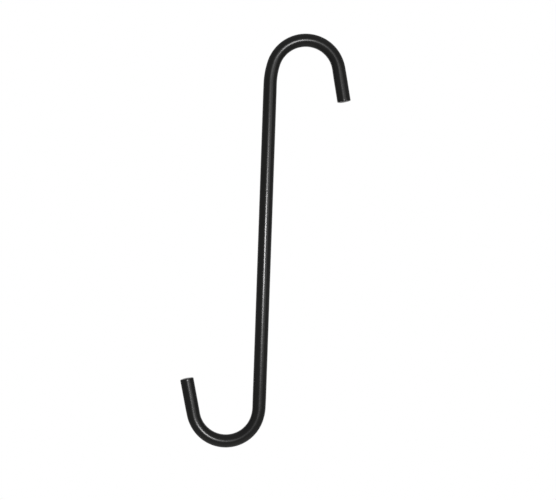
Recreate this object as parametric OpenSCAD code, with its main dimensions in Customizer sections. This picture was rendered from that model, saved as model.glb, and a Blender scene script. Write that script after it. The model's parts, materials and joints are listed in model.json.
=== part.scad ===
// S hook bent from one length of round steel rod and painted black.
// The shank stands along Z and both hooks lie in the XZ plane: the upper leg is on the +X side of
// the shank and the lower leg on the -X side. The origin is the upper seat, the highest point of
// the upper bend's inside, where the hook hangs on a rail.

/* [Rod] */
// Diameter of the round rod, over its paint
rod_d = 6.6; // [4:0.05:10]
// Length over both bends, outside to outside
overall_len = 203.2; // [160:0.1:320]
// Rounding round the rim of each cropped end
end_round = 0.5; // [0.2:0.05:1]

/* [Upper hook] */
// Radius of the inside of the upper bend, where the rail sits
upper_inside_r = 13.05; // [8:0.05:25]
// Angle at which the upper leg leans away from the shank
upper_splay = 11; // [0:0.25:30]
// Straight length of the upper leg past its bend
upper_leg = 16.5; // [6:0.1:40]
// Centreline radius of the gentle start of the upper bend
upper_lead_r = 36; // [16:0.5:60]
// Angle turned by the gentle start of the upper bend
upper_lead_angle = 16; // [5:0.5:30]

/* [Lower hook] */
// Radius of the inside of the lower bend, where the load hangs
lower_inside_r = 12.75; // [8:0.05:25]
// Angle at which the lower leg leans away from the shank
lower_splay = 12.5; // [0:0.25:30]
// Straight length of the lower leg past its bend
lower_leg = 17.7; // [6:0.1:40]
// Centreline radius of the gentle start of the lower bend
lower_lead_r = 20; // [16:0.5:60]
// Angle turned by the gentle start of the lower bend
lower_lead_angle = 16; // [5:0.5:30]

/* [Hidden] */
$fn = 96;

black_paint = [0.09, 0.09, 0.095];
half_turn = 180;

// Coarse step in which a length of rod is first placed
coarse_step = 0.01;

// The crown is the tight, round part of a bend, measured at the rod's centreline
rod_r = rod_d / 2;
upper_crown_r = upper_inside_r + rod_r;
lower_crown_r = lower_inside_r + rod_r;

// Where a crown's centre lies: how far to the side of the shank, and how far past the shank's end
function crown_reach(lead_r, lead_angle, crown_r) = lead_r - (lead_r - crown_r) * cos(lead_angle);
function crown_lift(lead_r, lead_angle, crown_r) = (lead_r - crown_r) * sin(lead_angle);

upper_reach = crown_reach(upper_lead_r, upper_lead_angle, upper_crown_r);
upper_lift = crown_lift(upper_lead_r, upper_lead_angle, upper_crown_r);
lower_lift = crown_lift(lower_lead_r, lower_lead_angle, lower_crown_r);

// The shank takes up what the two bends leave of the overall length
upper_rise = upper_lift + upper_crown_r + rod_r;
lower_drop = lower_lift + lower_crown_r + rod_r;
shank_len = overall_len - upper_rise - lower_drop;
shank_top = -(upper_lift + upper_inside_r);

// Moves by a coarse step and then by the rest, so that neighbouring lengths of rod meet exactly
module place(x, z) {
    coarse = [round(x / coarse_step), 0, round(z / coarse_step)] * coarse_step;
    translate(coarse)
        translate([x, 0, z] - coarse)
            children();
}

// Turns a straight length so that its seam runs along the outside of the bends, in line with theirs
module seam_outside() {
    rotate([0, 0, half_turn])
        children();
}

// Straight rod from the origin along +Z; what follows starts at its far end
module run(length) {
    seam_outside()
        cylinder(r = rod_r, h = length);
    translate([0, 0, length])
        children();
}

// Bent rod round the origin, between two angles that are measured from +X towards +Z
module bend(radius, first_angle, last_angle) {
    rotate([90, 0, 0])
        rotate_extrude(angle = last_angle - first_angle, start = first_angle)
            translate([radius, 0])
                circle(r = rod_r);
}

// Straight leg from the origin along +Z, cropped square, with the rim of the cut rounded
module leg(length) {
    seam_outside()
        rotate_extrude() {
            square([rod_r, length - end_round]);
            square([rod_r - end_round, length]);
            translate([rod_r - end_round, length - end_round])
                circle(r = end_round);
        }
}

// Hook on the end of a shank that comes up to the origin: a gentle start, the round crown and the leg
module hook_end(lead_r, lead_angle, crown_r, splay, leg_len) {
    reach = crown_reach(lead_r, lead_angle, crown_r);
    lift = crown_lift(lead_r, lead_angle, crown_r);
    place(lead_r, 0)
        bend(lead_r, half_turn - lead_angle, half_turn);
    place(reach, lift)
        bend(crown_r, splay, half_turn - lead_angle);
    place(reach + crown_r * cos(splay), lift + crown_r * sin(splay))
        rotate([0, half_turn - splay, 0])
            leg(leg_len);
}

// The whole bent rod, drawn from the top of the shank: the upper hook goes up, the rest goes down
module s_hook() {
    color(black_paint)
        translate([-upper_reach, 0, shank_top]) {
            hook_end(upper_lead_r, upper_lead_angle, upper_crown_r, upper_splay, upper_leg);
            rotate([0, half_turn, 0])
                run(shank_len)
                    hook_end(lower_lead_r, lower_lead_angle, lower_crown_r, lower_splay, lower_leg);
        }
}

s_hook();
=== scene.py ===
"""Finished looks of a long-shank S hook.

The hook is one length of round steel rod, cropped square at both ends, bent into two open hooks
and painted black. It hangs in its own frame above a pale floor, square on to the camera.
"""
import json
import logging
import math
from dataclasses import dataclass
from enum import Enum

import bpy
import numpy as np
from mathutils import Matrix, Vector


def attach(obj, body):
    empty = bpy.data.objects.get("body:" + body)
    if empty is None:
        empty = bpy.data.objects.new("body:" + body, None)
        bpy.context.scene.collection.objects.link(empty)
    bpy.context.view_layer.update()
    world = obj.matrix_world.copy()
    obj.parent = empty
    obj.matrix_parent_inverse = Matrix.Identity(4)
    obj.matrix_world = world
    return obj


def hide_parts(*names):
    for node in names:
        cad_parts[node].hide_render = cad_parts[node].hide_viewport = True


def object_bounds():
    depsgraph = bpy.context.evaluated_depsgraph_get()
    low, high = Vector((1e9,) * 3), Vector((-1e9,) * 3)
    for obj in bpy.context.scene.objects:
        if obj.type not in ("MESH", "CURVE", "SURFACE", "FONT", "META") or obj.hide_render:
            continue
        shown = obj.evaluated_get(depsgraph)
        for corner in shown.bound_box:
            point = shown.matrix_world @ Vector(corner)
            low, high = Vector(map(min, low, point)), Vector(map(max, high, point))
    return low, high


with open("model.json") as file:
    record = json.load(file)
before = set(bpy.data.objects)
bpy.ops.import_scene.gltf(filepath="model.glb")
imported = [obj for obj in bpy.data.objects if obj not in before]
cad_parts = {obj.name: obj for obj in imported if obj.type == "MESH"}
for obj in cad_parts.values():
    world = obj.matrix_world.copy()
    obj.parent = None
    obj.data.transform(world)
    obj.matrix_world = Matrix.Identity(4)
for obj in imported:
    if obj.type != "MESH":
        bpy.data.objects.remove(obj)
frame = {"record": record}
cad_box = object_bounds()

MM = 0.001
BODY = "root"
HOOK_NODE = "s_hook"
PIECE = "painted_rod"
PAINT_SLOT = "black_paint"

# Names of the values that the rod's mesh carries for its paint
STRAIGHT_ROD = "straight_rod"
CROPPED = "cropped"
BENT = "bent"

Colour = tuple[float, float, float, float]
Socket = bpy.types.NodeSocket

WHITE: Colour = (1.0, 1.0, 1.0, 1.0)

log = logging.getLogger("s_hook")


class Turn(Enum):
    """Side to which the rod turns when it is followed from the upper tip to the lower tip."""

    LEFT = -1.0
    RIGHT = 1.0


@dataclass(frozen=True)
class Stretch:
    """Length of rod with one steady curvature.

    Attributes:
        length: Length along the rod's centreline, in metres.
        curvature: Heading gained per metre, in radians, positive to the right.
    """

    length: float
    curvature: float = 0.0


class RodPath:
    """Centreline of the bent rod, in the plane of the hook, as straights and arcs that run on smoothly."""

    def __init__(self, stretches: list[Stretch], heading: float) -> None:
        """Works out where each stretch starts.

        Args:
            stretches: The stretches in order, from one tip to the other.
            heading: Heading at the first tip, in radians from +Z towards +X.
        """
        lengths = np.array([stretch.length for stretch in stretches])
        self.curvatures = np.array([stretch.curvature for stretch in stretches])
        self.starts = np.concatenate([[0.0], np.cumsum(lengths)])
        self.headings = heading + np.concatenate([[0.0], np.cumsum(lengths * self.curvatures)])
        steps = self._chord(lengths, self.curvatures, self.headings[:-1])
        self.corners = np.concatenate([np.zeros((1, 2)), np.cumsum(steps, axis=0)])

    @property
    def length(self) -> float:
        """Whole length of the rod, in metres."""
        return float(self.starts[-1])

    @staticmethod
    def _chord(run: np.ndarray, curvature: np.ndarray, heading: np.ndarray) -> np.ndarray:
        """Straight step from the start of an arc to a point along it.

        The chord of an arc points along the heading halfway round, and is as much shorter than the
        arc as the sine of half the turn is than half the turn. A straight is an arc without turn.

        Args:
            run: Lengths along the arcs.
            curvature: Curvatures of the arcs.
            heading: Headings at the arcs' starts.

        Returns:
            Array of steps in X and Z.
        """
        half_turn = run * curvature / 2
        reach = run * np.sinc(half_turn / math.pi)
        return np.stack([reach * np.sin(heading + half_turn), reach * np.cos(heading + half_turn)], axis=-1)

    def heading_at(self, along: np.ndarray) -> np.ndarray:
        """Heading at places along the rod, which changes evenly within each stretch."""
        return np.interp(along, self.starts, self.headings)

    def point_at(self, along: np.ndarray) -> np.ndarray:
        """Points of the centreline.

        Args:
            along: Distances from the first tip.

        Returns:
            Array of points in X and Z, measured from the first tip.
        """
        last = len(self.curvatures) - 1
        index = np.clip(np.searchsorted(self.starts, along, side="right") - 1, 0, last)
        run = along - self.starts[index]
        return self.corners[index] + self._chord(run, self.curvatures[index], self.headings[index])


@dataclass(frozen=True)
class HookEnd:
    """Hook on one end of the rod: a gentle lead, a round crown and a straight, splayed leg.

    Attributes:
        turn: Side to which the rod turns here.
        inside_radius: Radius of the crown's inside.
        splay: Angle at which the leg leans away from the shank, in radians.
        leg: Straight length from the crown to the tip.
        lead_radius: Centreline radius of the gentle start of the bend.
        lead_angle: Angle turned by that start, in radians.
    """

    turn: Turn
    inside_radius: float
    splay: float
    leg: float
    lead_radius: float
    lead_angle: float

    def crown_radius(self, rod_radius: float) -> float:
        """Centreline radius of the crown."""
        return self.inside_radius + rod_radius

    def depth(self, rod_radius: float) -> float:
        """Height of the bend: what lead and crown rise up to the crest, and the rod's radius on top."""
        crown = self.crown_radius(rod_radius)
        return (self.lead_radius - crown) * math.sin(self.lead_angle) + crown + rod_radius

    def stretches(self, rod_radius: float) -> list[Stretch]:
        """Stretches of this end, from its tip to the shank.

        The crown turns what the splay and the lead leave of half a turn.

        Args:
            rod_radius: Radius of the rod.

        Returns:
            The leg, the crown and the lead.
        """
        crown = self.crown_radius(rod_radius)
        crown_angle = math.pi - self.splay - self.lead_angle
        side = self.turn.value
        return [
            Stretch(self.leg),
            Stretch(crown * crown_angle, side / crown),
            Stretch(self.lead_radius * self.lead_angle, side / self.lead_radius),
        ]


@dataclass(frozen=True)
class CroppedFace:
    """Shallow relief that a shear leaves on the end of a rod.

    Attributes:
        rollover: Depth to which the edge is pulled down where the blade went in.
        rollover_reach: Width of that edge, in rod radii.
        break_start: How far past the middle the broken half starts, in rod radii.
        break_width: Width of the step down to it, in rod radii.
        break_depth: Depth of the broken half below the half that was cut.
        ripple: Height of the ripples on the broken half.
        ripple_pace: Angle that the ripples' sine runs through over one rod radius.
        sway: How far the ripples swing to and fro, as an angle of that sine.
        sway_pace: Angle that the swing's own sine runs through over one rod radius.
    """

    rollover: float = 0.16 * MM
    rollover_reach: float = 0.4
    break_start: float = 0.05
    break_width: float = 0.3
    break_depth: float = 0.05 * MM
    ripple: float = 0.012 * MM
    ripple_pace: float = 11.0
    sway: float = 1.7
    sway_pace: float = 5.0

    def relief(self, inwards: np.ndarray, sideways: np.ndarray) -> np.ndarray:
        """Height of the face, none of it above the true length of the rod.

        The edge where the blade went in falls off as a bell curve of the distance from it. Past the
        middle the face steps down along a smooth S. Beyond the step it has sine ripples across the
        blade's travel, which swing to and fro along another sine.

        Args:
            inwards: Places along the blade's travel, from -1 at its entry to 1, in rod radii.
            sideways: Places across the blade's travel, in rod radii.

        Returns:
            Array of heights, in metres.
        """
        edge = self.rollover * np.exp(-(((1 + inwards) / self.rollover_reach) ** 2))
        ramp = np.clip((inwards - self.break_start) / self.break_width, 0, 1)
        broken = ramp * ramp * (3 - 2 * ramp)
        swing = self.sway * np.sin(self.sway_pace * sideways)
        wave = np.sin(self.ripple_pace * inwards + swing) - 1
        return -edge - broken * (self.break_depth - self.ripple * wave)


class NodeSheet:
    """Shorthand for adding nodes to a node tree and joining them."""

    def __init__(self, tree: bpy.types.NodeTree) -> None:
        """Starts on an emptied node tree."""
        tree.nodes.clear()
        self.tree = tree

    def add(self, kind: str, inputs: dict[str, object] | None = None, **settings: object) -> bpy.types.Node:
        """Adds one node.

        Args:
            kind: Blender's name of the node's type.
            inputs: Values or output sockets for the node's inputs, by the inputs' names.
            **settings: Properties of the node.

        Returns:
            The new node.
        """
        node = self.tree.nodes.new(kind)
        for name, value in settings.items():
            setattr(node, name, value)
        for name, value in (inputs or {}).items():
            self.feed(node.inputs[name], value)
        return node

    def feed(self, socket: Socket, value: object) -> None:
        """Joins an output to an input, or sets the input's value.

        Args:
            socket: The input.
            value: The output socket to join to it, or the value to set.
        """
        if isinstance(value, Socket):
            self.tree.links.new(value, socket)
        else:
            socket.default_value = value

    def math(self, operation: str, *terms: object) -> Socket:
        """Result of a sum, product or other operation on numbers or sockets.

        Args:
            operation: Blender's name of the operation.
            *terms: The numbers or sockets to work on.

        Returns:
            The output socket.
        """
        node = self.add("ShaderNodeMath", operation=operation)
        for socket, term in zip(node.inputs, terms):
            self.feed(socket, term)
        return node.outputs["Value"]

    def vector_math(self, operation: str, first: object, second: object) -> Socket:
        """Number worked out from two vectors.

        Args:
            operation: Blender's name of the operation.
            first: The first vector, or a socket for it.
            second: The second vector, or a socket for it.

        Returns:
            The output socket.
        """
        node = self.add("ShaderNodeVectorMath", operation=operation)
        self.feed(node.inputs[0], first)
        self.feed(node.inputs[1], second)
        return node.outputs["Value"]

    def smooth_step(self, value: Socket, low: float, high: float) -> Socket:
        """Smooth S that is 0 up to the low limit of a value and 1 from its high limit on."""
        inputs = {"Value": value, "From Min": low, "From Max": high}
        return self.add("ShaderNodeMapRange", inputs, interpolation_type="SMOOTHSTEP").outputs["Result"]

    def blend(self, share: Socket, first: Socket, second: Socket) -> Socket:
        """Mixes two shaders.

        Args:
            share: Share of the second shader.
            first: The first shader.
            second: The second shader.

        Returns:
            The output socket.
        """
        node = self.add("ShaderNodeMixShader", {"Fac": share})
        self.feed(node.inputs[1], first)
        self.feed(node.inputs[2], second)
        return node.outputs["Shader"]

    def attribute(self, name: str, output: str) -> Socket:
        """Value that the mesh carries under a name, by the kind of output that it is read as."""
        return self.add("ShaderNodeAttribute", attribute_name=name).outputs[output]

    def noise(self, vector: Socket, grain: float, detail: float) -> Socket:
        """Cloudy noise from 0 to 1, whose clouds have the size of a grain and a number of finer layers."""
        inputs = {"Vector": vector, "Scale": 1 / grain, "Detail": detail}
        return self.add("ShaderNodeTexNoise", inputs).outputs["Fac"]

    def seen(self, mirrored_share: object) -> Socket:
        """Value of 1 for rays from the camera, a share for mirrored and refracted ones, and 0 for the rest.

        Args:
            mirrored_share: Number or socket for the mirrored and refracted rays.

        Returns:
            The output socket.
        """
        path = self.add("ShaderNodeLightPath").outputs
        mirrored = self.math("MAXIMUM", path["Is Glossy Ray"], path["Is Transmission Ray"])
        shared = self.math("MULTIPLY", mirrored, mirrored_share)
        return self.math("MAXIMUM", path["Is Camera Ray"], shared)


@dataclass(frozen=True)
class BlackEnamel:
    """Semi-gloss black enamel, dipped or sprayed on a smooth drawn rod.

    Attributes:
        colour: Colour of the paint, as linear light.
        tones: Brightness of the thinnest and of the thickest paint, as shares of its colour.
        tone_limits: Levels of the cloudy noise at which the paint is thinnest and thickest.
        tone_grain: Size of the clouds of thin and thick paint.
        tone_detail: Number of finer layers in those clouds.
        roughness: Roughness of the gloss on the rod's side.
        gloss: Strength of the reflection, where 0.5 is that of window glass.
        dullness: Roughness added on the cropped faces.
        bend_dullness: Roughness added in the crowns, where the rod is bent most.
        gloss_drift: How much the roughness drifts along the rod.
        gloss_grain: Size of the clouds in which it drifts.
        gloss_detail: Number of finer layers in those clouds.
        peel_grain: Width of the paint's orange peel.
        peel_height: Height of the orange peel.
        draw_grain: Spacing of the drawing marks that show through the paint.
        draw_stretch: How many times longer than wide those marks are.
        draw_height: Height of the drawing marks.
        skin_detail: Number of finer layers in the orange peel and in the drawing marks.
        crop_grain: Grain of the torn metal under the paint on the cropped faces.
        crop_height: Height of that grain.
        crop_detail: Number of finer layers in that grain.
    """

    colour: Colour
    tones: tuple[float, float] = (1.25, 0.8)
    tone_limits: tuple[float, float] = (0.3, 0.7)
    tone_grain: float = 14 * MM
    tone_detail: float = 3.0
    roughness: float = 0.225
    gloss: float = 0.4
    dullness: float = 0.2
    bend_dullness: float = 0.04
    gloss_drift: float = 0.05
    gloss_grain: float = 9 * MM
    gloss_detail: float = 2.0
    peel_grain: float = 1.3 * MM
    peel_height: float = 0.015 * MM
    draw_grain: float = 0.4 * MM
    draw_stretch: float = 60.0
    draw_height: float = 0.0036 * MM
    skin_detail: float = 1.0
    crop_grain: float = 0.3 * MM
    crop_height: float = 0.02 * MM
    crop_detail: float = 3.0

    def material(self) -> bpy.types.Material:
        """Builds the paint.

        All patterns lie on the rod as it was before it was bent, so they follow the bends.

        Returns:
            The material.
        """
        material = bpy.data.materials.new("black_enamel")
        material.use_nodes = True
        sheet = NodeSheet(material.node_tree)
        straight_rod = sheet.attribute(STRAIGHT_ROD, "Vector")
        cropped = sheet.attribute(CROPPED, "Fac")
        bent = sheet.attribute(BENT, "Fac")
        paint = sheet.add("ShaderNodeBsdfPrincipled", {"Specular IOR Level": self.gloss})
        sheet.feed(paint.inputs["Base Color"], self._tone(sheet, straight_rod))
        sheet.feed(paint.inputs["Roughness"], self._roughness(sheet, straight_rod, cropped, bent))
        sheet.feed(paint.inputs["Normal"], self._relief(sheet, straight_rod, cropped))
        sheet.add("ShaderNodeOutputMaterial", {"Surface": paint.outputs["BSDF"]})
        return material

    def _tone(self, sheet: NodeSheet, straight_rod: Socket) -> Socket:
        """Paint colour with a faint drift in depth.

        Args:
            sheet: Where the nodes go.
            straight_rod: Coordinates on the unbent rod.

        Returns:
            The colour's socket.
        """
        cloud = sheet.noise(straight_rod, self.tone_grain, self.tone_detail)
        ramp = sheet.add("ShaderNodeValToRGB", {"Fac": cloud})
        for stop, limit, tone in zip(ramp.color_ramp.elements, self.tone_limits, self.tones):
            stop.position = limit
            stop.color = [tone * part for part in self.colour[:3]] + [1.0]
        return ramp.outputs["Color"]

    def _roughness(self, sheet: NodeSheet, straight_rod: Socket, cropped: Socket, bent: Socket) -> Socket:
        """Roughness that drifts along the rod and rises in the crowns and on the cropped faces.

        Args:
            sheet: Where the nodes go.
            straight_rod: Coordinates on the unbent rod.
            cropped: Mask of the cropped faces.
            bent: How hard the rod is bent, as a share of what it is in a crown.

        Returns:
            The roughness's socket.
        """
        cloud = sheet.noise(straight_rod, self.gloss_grain, self.gloss_detail)
        smoothest = self.roughness - self.gloss_drift / 2
        drift = sheet.math("MULTIPLY_ADD", cloud, self.gloss_drift, smoothest)
        coarse = sheet.math("MULTIPLY_ADD", bent, self.bend_dullness, drift)
        return sheet.math("MULTIPLY_ADD", cropped, self.dullness, coarse)

    def _relief(self, sheet: NodeSheet, straight_rod: Socket, cropped: Socket) -> Socket:
        """Orange peel, drawing marks and the grain of the cropped faces, as one bumped normal.

        The heights are in metres, which a bump of distance 1 takes as they are.

        Args:
            sheet: Where the nodes go.
            straight_rod: Coordinates on the unbent rod.
            cropped: Mask of the cropped faces.

        Returns:
            The normal's socket.
        """
        stretch = (1 / self.draw_stretch, 1.0, 1.0)
        drawn = sheet.add("ShaderNodeMapping", {"Vector": straight_rod, "Scale": stretch}).outputs["Vector"]
        peel = sheet.noise(straight_rod, self.peel_grain, self.skin_detail)
        marks = sheet.noise(drawn, self.draw_grain, self.skin_detail)
        grain = sheet.noise(straight_rod, self.crop_grain, self.crop_detail)
        wavy = sheet.math("MULTIPLY", peel, self.peel_height)
        skin = sheet.math("MULTIPLY_ADD", marks, self.draw_height, wavy)
        torn = sheet.math("MULTIPLY", grain, self.crop_height)
        height = sheet.math("MULTIPLY_ADD", torn, cropped, skin)
        bump = sheet.add("ShaderNodeBump", {"Height": height, "Distance": 1.0, "Strength": 1.0})
        return bump.outputs["Normal"]


@dataclass(frozen=True)
class BentRod:
    """The whole hook: one rod bent to an upper and a lower hook with a straight shank between.

    Attributes:
        upper: The hook at the top, whose inside holds the origin at its highest point.
        lower: The hook at the bottom.
        diameter: Diameter of the round rod.
        overall: Length over both bends, outside to outside.
        end_round: Rounding round the rim of each cropped end.
        face: Relief of the cropped ends.
        thinning: Share by which a crown's bend thins the rod across the bend.
        outer_thinning: Further share by which the bend's outside is flattened, and its inside filled.
        swelling: Share by which the same bend widens the rod at right angles to it.
        settle: Length of rod over which a bend's squeeze fades in and out.
        around: Number of points round the rod.
        ring_gap: Spacing of the rings of points along the rod.
        face_rings: Number of rings on a cropped face.
        rim_rings: Number of rings on a rounded rim.
    """

    upper: HookEnd
    lower: HookEnd
    diameter: float = 6.6 * MM
    overall: float = 203.2 * MM
    end_round: float = 0.5 * MM
    face: CroppedFace = CroppedFace()
    thinning: float = 0.035
    outer_thinning: float = 0.012
    swelling: float = 0.015
    settle: float = 9.0 * MM
    around: int = 96
    ring_gap: float = 0.6 * MM
    face_rings: int = 12
    rim_rings: int = 8

    @property
    def radius(self) -> float:
        """Radius of the rod."""
        return self.diameter / 2

    @property
    def shank(self) -> float:
        """Length of the straight shank: what both bends leave of the overall length."""
        return self.overall - self.upper.depth(self.radius) - self.lower.depth(self.radius)

    def path(self) -> RodPath:
        """Centreline from the upper tip to the lower tip.

        Returns:
            The upper hook's stretches, the shank, and the lower hook's stretches the other way round.
        """
        down = self.upper.stretches(self.radius) + [Stretch(self.shank)]
        up = self.lower.stretches(self.radius)[::-1]
        return RodPath(down + up, self.upper.turn.value * self.upper.splay)

    def seat_shift(self, path: RodPath) -> np.ndarray:
        """Step that brings the upper seat to the origin.

        The seat lies one rod radius below the crest of the centreline, where the rod runs level.

        Args:
            path: The centreline, measured from the upper tip.

        Returns:
            The step in X and Z.
        """
        quarter_turn = math.pi / 2
        crest = self.upper.leg + self.upper.crown_radius(self.radius) * (quarter_turn - self.upper.splay)
        return np.array([0.0, self.radius]) - path.point_at(np.array([crest]))[0]

    def shank_middle(self) -> Vector:
        """Middle of the shank's centreline.

        Returns:
            The point, in the hook's frame.
        """
        path = self.path()
        upper_length = sum(stretch.length for stretch in self.upper.stretches(self.radius))
        middle = path.point_at(np.array([upper_length + self.shank / 2]))[0] + self.seat_shift(path)
        return Vector((middle[0], 0.0, middle[1]))

    def _rings(self, length: float) -> tuple[np.ndarray, np.ndarray, np.ndarray]:
        """Places, radii and end masks of the rings, from one pole to the other.

        A cropped face is rings of growing radius at the tip. Its rim is a quarter circle from the
        face to the side. Between the rims the rings are evenly spaced.

        Args:
            length: Length of the rod.

        Returns:
            Distances along the rod, radii, and masks that are 1 on a face and 0 on the side.
        """
        turn = np.linspace(0, math.pi / 2, self.rim_rings + 1)[1:]
        flat = np.linspace(0, self.radius - self.end_round, self.face_rings)
        end_place = np.concatenate([np.zeros(self.face_rings), self.end_round * (1 - np.cos(turn))])
        end_radius = np.concatenate([flat, self.radius - self.end_round * (1 - np.sin(turn))])
        end_mask = np.concatenate([np.ones(self.face_rings), np.cos(turn) ** 2])
        count = round((length - 2 * self.end_round) / self.ring_gap)
        side = np.linspace(self.end_round, length - self.end_round, count + 1)[1:-1]
        place = np.concatenate([end_place, side, (length - end_place)[::-1]])
        radius = np.concatenate([end_radius, np.full(len(side), self.radius), end_radius[::-1]])
        mask = np.concatenate([end_mask, np.zeros(len(side)), end_mask[::-1]])
        return place, radius, mask

    def _squeeze(self, path: RodPath, place: np.ndarray) -> np.ndarray:
        """How hard the rod is bent at each place, from -1 in the upper crown to 1 in the lower one.

        It is the heading gained over a short window round the place, as a share of what a crown
        gains over that window, so it fades in and out at the ends of a bend.

        Args:
            path: The centreline.
            place: Distances along the rod.

        Returns:
            Array of shares.
        """
        gained = path.heading_at(place + self.settle / 2) - path.heading_at(place - self.settle / 2)
        return gained / self.settle / np.abs(path.curvatures).max()

    def skin(self) -> tuple[np.ndarray, np.ndarray, np.ndarray, np.ndarray]:
        """Surface of the rod, as rings of points carried along the centreline.

        A ring is a circle across the centreline. A bend flattens it in the plane of the hook, more
        so on the outside of the bend, and widens it across that plane. The cropped faces get their
        relief along the rod.

        Returns:
            Points in the hook's frame, their places on the rod before it was bent, masks that are 1 on
            a cropped face, and shares of a crown's bend.
        """
        path = self.path()
        place, radius, mask = self._rings(path.length)
        angle = np.linspace(0, 2 * math.pi, self.around, endpoint=False)
        ring = np.stack([np.cos(angle), np.sin(angle)])
        squeeze = self._squeeze(path, place)[:, None]
        flattened = 1 - self.thinning * np.abs(squeeze) + self.outer_thinning * squeeze * ring[0]
        in_plane = radius[:, None] * ring[0] * flattened
        across = radius[:, None] * ring[1] * (1 + self.swelling * np.abs(squeeze))
        outwards = np.where(place < path.length / 2, -1.0, 1.0)[:, None]
        relief = self.face.relief(in_plane / self.radius, across / self.radius)
        lift = outwards * mask[:, None] * relief
        heading = path.heading_at(place)[:, None]
        centre = (path.point_at(place) + self.seat_shift(path))[:, None, :]
        x = centre[..., 0] + in_plane * np.cos(heading) + lift * np.sin(heading)
        z = centre[..., 1] - in_plane * np.sin(heading) + lift * np.cos(heading)
        straight = np.broadcast_to(place[:, None], x.shape)
        unbent = np.stack([straight, radius[:, None] * ring[0], radius[:, None] * ring[1]], axis=-1)
        cropped = np.broadcast_to(mask[:, None], x.shape)
        bent = np.broadcast_to(np.abs(squeeze), x.shape)
        return np.stack([x, across, z], axis=-1), unbent, cropped, bent

    def build(self) -> bpy.types.Object:
        """Makes the rod's mesh, with its unbent places, end mask and share of bend as attributes.

        Returns:
            The rod's object.
        """
        points, unbent, cropped, bent = self.skin()
        mesh = closed_mesh(PIECE, points)
        straight_rod = mesh.attributes.new(STRAIGHT_ROD, "FLOAT_VECTOR", "POINT")
        straight_rod.data.foreach_set("vector", without_doubles(unbent).ravel())
        for name, share in {CROPPED: cropped, BENT: bent}.items():
            attribute = mesh.attributes.new(name, "FLOAT", "POINT")
            attribute.data.foreach_set("value", without_doubles(share[..., None]).ravel())
        rod = bpy.data.objects.new(PIECE, mesh)
        bpy.context.collection.objects.link(rod)
        return rod

    def dress(self, rod: bpy.types.Object, enamel: BlackEnamel) -> None:
        """Paints the rod and puts it in the place of the plain one.

        Args:
            rod: The rod's object.
            enamel: Its paint.
        """
        rod.data.materials.append(enamel.material())
        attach(rod, BODY)
        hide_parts(HOOK_NODE)


def without_doubles(rings: np.ndarray) -> np.ndarray:
    """Rings' values as one list of points, in which the first and the last ring count as one point each."""
    width = rings.shape[-1]
    return np.concatenate([rings[:1, 0], rings[1:-1].reshape(-1, width), rings[-1:, 0]])


def closed_mesh(name: str, rings: np.ndarray) -> bpy.types.Mesh:
    """Smooth mesh over rings of points, closed by a fan of triangles at each end.

    Each ring is joined to the next by four-sided faces, and its last point to its first.

    Args:
        name: Name of the mesh.
        rings: Array of rings of points, whose first and last ring shrink to one point each.

    Returns:
        The mesh.
    """
    count, around = rings.shape[:2]
    points = without_doubles(rings)
    index = 1 + np.arange((count - 2) * around).reshape(count - 2, around)
    following = np.roll(index, -1, axis=1)
    first_pole = np.zeros(around, int)
    last_pole = np.full(around, len(points) - 1)
    fans = np.concatenate([
        np.stack([first_pole, following[0], index[0]], axis=-1),
        np.stack([index[-1], following[-1], last_pole], axis=-1),
    ])
    quads = np.stack([index[:-1], following[:-1], following[1:], index[1:]], axis=-1).reshape(-1, 4)
    corners = np.concatenate([fans.ravel(), quads.ravel()])
    starts = np.concatenate([3 * np.arange(len(fans)), fans.size + 4 * np.arange(len(quads))])
    mesh = bpy.data.meshes.new(name)
    mesh.vertices.add(len(points))
    mesh.vertices.foreach_set("co", points.ravel())
    mesh.loops.add(len(corners))
    mesh.loops.foreach_set("vertex_index", corners)
    mesh.polygons.add(len(starts))
    mesh.polygons.foreach_set("loop_start", starts)
    mesh.update(calc_edges=True)
    mesh.validate()
    mesh.shade_smooth()
    return mesh


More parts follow.
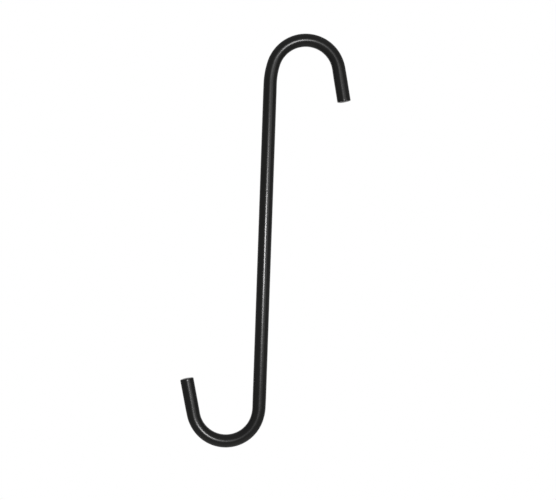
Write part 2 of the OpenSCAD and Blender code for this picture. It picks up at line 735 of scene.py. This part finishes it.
@dataclass(frozen=True)
class PaleFloor:
    """Plain pale floor below the hanging hook, which fades into the background.

    Attributes:
        gap: Height of the hook above the floor.
        clear_radius: Radius inside which the floor shows fully.
        fade_radius: Radius at which it has faded out.
        colour: Colour of the floor.
        glow: Share of plain white in what is seen of the floor, so that it is pale but keeps a shadow.
        mirrored_share: How much of that white shows in the paint's mirror.
    """

    gap: float = 110 * MM
    clear_radius: float = 80 * MM
    fade_radius: float = 190 * MM
    colour: Colour = (0.82, 0.82, 0.81, 1.0)
    glow: float = 0.6
    mirrored_share: float = 0.2

    def build(self) -> bpy.types.Object:
        """Lays the floor under the middle of the hook.

        Returns:
            The floor's object.
        """
        low, high = (np.array(corner) for corner in cad_box)
        middle = (low + high) / 2
        middle[2] = low[2] - self.gap
        corners = self.fade_radius * np.array([[-1, -1, 0], [1, -1, 0], [1, 1, 0], [-1, 1, 0]])
        mesh = bpy.data.meshes.new("pale_floor")
        mesh.from_pydata((middle + corners).tolist(), [], [(0, 1, 2, 3)])
        mesh.materials.append(self._material(middle))
        floor = bpy.data.objects.new("pale_floor", mesh)
        bpy.context.collection.objects.link(floor)
        return floor

    def _material(self, middle: np.ndarray) -> bpy.types.Material:
        """Matt floor that is part plain white where it is seen, and clear past its fading edge.

        Args:
            middle: Middle of the floor.

        Returns:
            The material.
        """
        material = bpy.data.materials.new("pale_floor")
        material.use_nodes = True
        sheet = NodeSheet(material.node_tree)
        place = sheet.add("ShaderNodeTexCoord").outputs["Object"]
        from_middle = sheet.vector_math("DISTANCE", place, middle.tolist())
        fade = sheet.smooth_step(from_middle, self.clear_radius, self.fade_radius)
        matt = sheet.add("ShaderNodeBsdfDiffuse", {"Color": self.colour}).outputs["BSDF"]
        white = sheet.add("ShaderNodeEmission", {"Color": WHITE, "Strength": 1.0}).outputs["Emission"]
        seen = sheet.math("MULTIPLY", sheet.seen(self.mirrored_share), self.glow)
        pale = sheet.blend(seen, matt, white)
        clear = sheet.add("ShaderNodeBsdfTransparent").outputs["BSDF"]
        sheet.add("ShaderNodeOutputMaterial", {"Surface": sheet.blend(fade, pale, clear)})
        return material


@dataclass(frozen=True)
class SoftLamp:
    """Rectangular lamp that faces a point of the hook.

    Attributes:
        name: Name of the lamp.
        place: Where it stands.
        aim: The point it faces.
        width: Its level side.
        height: Its other side.
        level: How bright white paper at the aim shows, where 1 is white, reckoned as for a small lamp.
    """

    name: str
    place: Vector
    aim: Vector
    width: float
    height: float
    level: float

    def build(self) -> None:
        """Sets up the lamp, with the power that its level needs at its distance.

        White paper shows a small lamp's power divided by the square of pi times the distance, so the
        power is the level times that square. A lamp that is wide for its distance gives less.
        """
        ray = self.aim - self.place
        light = bpy.data.lights.new(self.name, "AREA")
        light.shape = "RECTANGLE"
        light.size = self.width
        light.size_y = self.height
        light.energy = self.level * (math.pi * ray.length) ** 2
        lamp = bpy.data.objects.new(self.name, light)
        lamp.location = self.place
        lamp.rotation_euler = ray.to_track_quat("-Z", "Y").to_euler()
        lamp.visible_camera = False
        bpy.context.collection.objects.link(lamp)


@dataclass(frozen=True)
class PhotoCamera:
    """Camera that sees the hook square on, framed as in the photograph.

    Attributes:
        columns: Width of the picture, in pixels.
        rows: Height of the picture, in pixels.
        pixel: Width of one pixel at the hook.
        shank_column: Column of the middle of the shank.
        shank_row: Row of the middle of the shank.
        lean: Angle by which the shank's top leans to the right in the picture.
        distance: Distance of the camera from the plane of the hook.
        sensor: Width of the sensor, in millimetres.
    """

    columns: int = 556
    rows: int = 500
    pixel: float = 0.4874 * MM
    shank_column: float = 264.6
    shank_row: float = 245.3
    lean: float = math.radians(1.972)
    distance: float = 600 * MM
    sensor: float = 36.0

    @property
    def right(self) -> Vector:
        """Direction to the right of the picture."""
        return Vector((math.cos(self.lean), 0.0, math.sin(self.lean)))

    @property
    def up(self) -> Vector:
        """Direction to the top of the picture."""
        return Vector((-math.sin(self.lean), 0.0, math.cos(self.lean)))

    @property
    def back(self) -> Vector:
        """Direction from the hook to the camera."""
        return self.right.cross(self.up)

    def centre(self, shank_middle: Vector) -> Vector:
        """Point of the hook's plane that lies in the middle of the picture.

        Args:
            shank_middle: Middle of the shank.

        Returns:
            The point.
        """
        across = (self.columns / 2 - self.shank_column) * self.pixel
        down = (self.rows / 2 - self.shank_row) * self.pixel
        return shank_middle + self.right * across - self.up * down

    def build(self, shank_middle: Vector) -> None:
        """Sets up the scene's camera.

        Args:
            shank_middle: Middle of the shank.
        """
        data = bpy.data.cameras.new("photo_camera")
        data.sensor_width = self.sensor
        data.lens = self.sensor * self.distance / (self.columns * self.pixel)
        camera = bpy.data.objects.new("photo_camera", data)
        turn = Matrix((self.right, self.up, self.back)).transposed().to_4x4()
        place = self.centre(shank_middle) + self.back * self.distance
        camera.matrix_world = Matrix.Translation(place) @ turn
        bpy.context.collection.objects.link(camera)
        bpy.context.scene.camera = camera


@dataclass(frozen=True)
class Studio:
    """Soft studio light: a lamp beside the camera, a broad panel, a lamp above and a white backdrop.

    Attributes:
        ambient: Level of the light that comes evenly from all sides.
        backdrop_core: Angle from the middle of the backdrop within which it is white in the paint's mirror.
        backdrop_edge: Angle at which it has faded into the even light there.
        key_distance: Distance of the key lamp from the plane of the hook, on the camera's side.
        key_side: How far the key lamp stands to the right of the camera's axis.
        key_level: Level of the key lamp.
        key_width: Level side of the key lamp.
        key_height: Upright side of the key lamp.
        fill_distance: Distance of the broad fill panel from the hook.
        fill_turn: Angle by which the panel stands to the right of the camera's axis.
        fill_rise: How far the panel stands above the camera's axis.
        fill_level: Level of the panel.
        fill_width: Level side of the panel.
        fill_height: Upright side of the panel.
        top_level: Level of the lamp above the hook.
        top_distance: Distance of that lamp.
        top_side: Side of that lamp, which is square.
    """

    ambient: float = 0.25
    backdrop_core: float = math.radians(20)
    backdrop_edge: float = math.radians(40)
    key_distance: float = 600 * MM
    key_side: float = 94 * MM
    key_level: float = 0.5
    key_width: float = 120 * MM
    key_height: float = 70 * MM
    fill_distance: float = 1200 * MM
    fill_turn: float = math.radians(22)
    fill_rise: float = 80 * MM
    fill_level: float = 0.2
    fill_width: float = 1390 * MM
    fill_height: float = 560 * MM
    top_level: float = 0.06
    top_distance: float = 800 * MM
    top_side: float = 1600 * MM

    def build(self, camera: PhotoCamera, shank_middle: Vector) -> None:
        """Sets up the world and the lamps.

        Args:
            camera: The camera that the key lamp stands beside.
            shank_middle: Middle of the shank.
        """
        self._world(camera)
        centre = camera.centre(shank_middle)
        key = centre + camera.back * self.key_distance + camera.right * self.key_side
        turned = camera.back * math.cos(self.fill_turn) + camera.right * math.sin(self.fill_turn)
        fill = centre + turned * self.fill_distance + camera.up * self.fill_rise
        above = centre + Vector((0.0, 0.0, self.top_distance))
        lamps = [
            SoftLamp("key", key, centre, self.key_width, self.key_height, self.key_level),
            SoftLamp("fill", fill, centre, self.fill_width, self.fill_height, self.fill_level),
            SoftLamp("top", above, centre, self.top_side, self.top_side, self.top_level),
        ]
        for lamp in lamps:
            lamp.build()

    def _world(self, camera: PhotoCamera) -> None:
        """White where the camera sees it and where the backdrop mirrors in the paint, and dimmer elsewhere.

        Args:
            camera: The camera that faces the backdrop.
        """
        world = bpy.data.worlds.new("studio")
        world.use_nodes = True
        sheet = NodeSheet(world.node_tree)
        even = sheet.add("ShaderNodeBackground", {"Color": WHITE, "Strength": self.ambient})
        white = sheet.add("ShaderNodeBackground", {"Color": WHITE, "Strength": 1.0})
        seen = sheet.seen(self._backdrop(sheet, camera))
        light = sheet.blend(seen, even.outputs["Background"], white.outputs["Background"])
        sheet.add("ShaderNodeOutputWorld", {"Surface": light})
        bpy.context.scene.world = world

    def _backdrop(self, sheet: NodeSheet, camera: PhotoCamera) -> Socket:
        """Mask of the directions in which the backdrop stands, as the cosine from its middle says.

        Args:
            sheet: Where the nodes go.
            camera: The camera that faces the backdrop.

        Returns:
            The mask's socket, which fades from 1 to 0.
        """
        direction = sheet.add("ShaderNodeTexCoord").outputs["Object"]
        towards = sheet.vector_math("DOT_PRODUCT", direction, -camera.back)
        return sheet.smooth_step(towards, math.cos(self.backdrop_edge), math.cos(self.backdrop_core))


def slot_colour(name: str) -> Colour:
    """Colour that the record gives for a material slot.

    Args:
        name: Name of the slot.

    Returns:
        The colour as linear red, green and blue, and an alpha of 1.
    """
    found = next(entry for entry in frame["record"]["materials"] if entry["slot"] == name)
    red, green, blue = found["base_color"]
    return red, green, blue, 1.0


def main() -> None:
    """Builds the hook, paints it, and sets the floor, the light and the camera round it."""
    logging.basicConfig(level=logging.INFO, format="%(name)s: %(message)s")
    bpy.context.scene.view_settings.view_transform = "Standard"
    upper = HookEnd(
        turn=Turn.LEFT,
        inside_radius=13.05 * MM,
        splay=math.radians(11),
        leg=16.5 * MM,
        lead_radius=36 * MM,
        lead_angle=math.radians(16),
    )
    lower = HookEnd(
        turn=Turn.RIGHT,
        inside_radius=12.75 * MM,
        splay=math.radians(12.5),
        leg=17.7 * MM,
        lead_radius=20 * MM,
        lead_angle=math.radians(16),
    )
    hook = BentRod(upper, lower)
    rod = hook.build()
    hook.dress(rod, BlackEnamel(slot_colour(PAINT_SLOT)))
    log.info("%s: %d faces, rod of %.1f mm", rod.name, len(rod.data.polygons), hook.path().length / MM)
    floor = PaleFloor().build()
    log.info("%s laid", floor.name)
    camera = PhotoCamera()
    camera.build(hook.shank_middle())
    Studio().build(camera, hook.shank_middle())
    log.info("camera and lamps set")


if __name__ == "__main__":
    main()
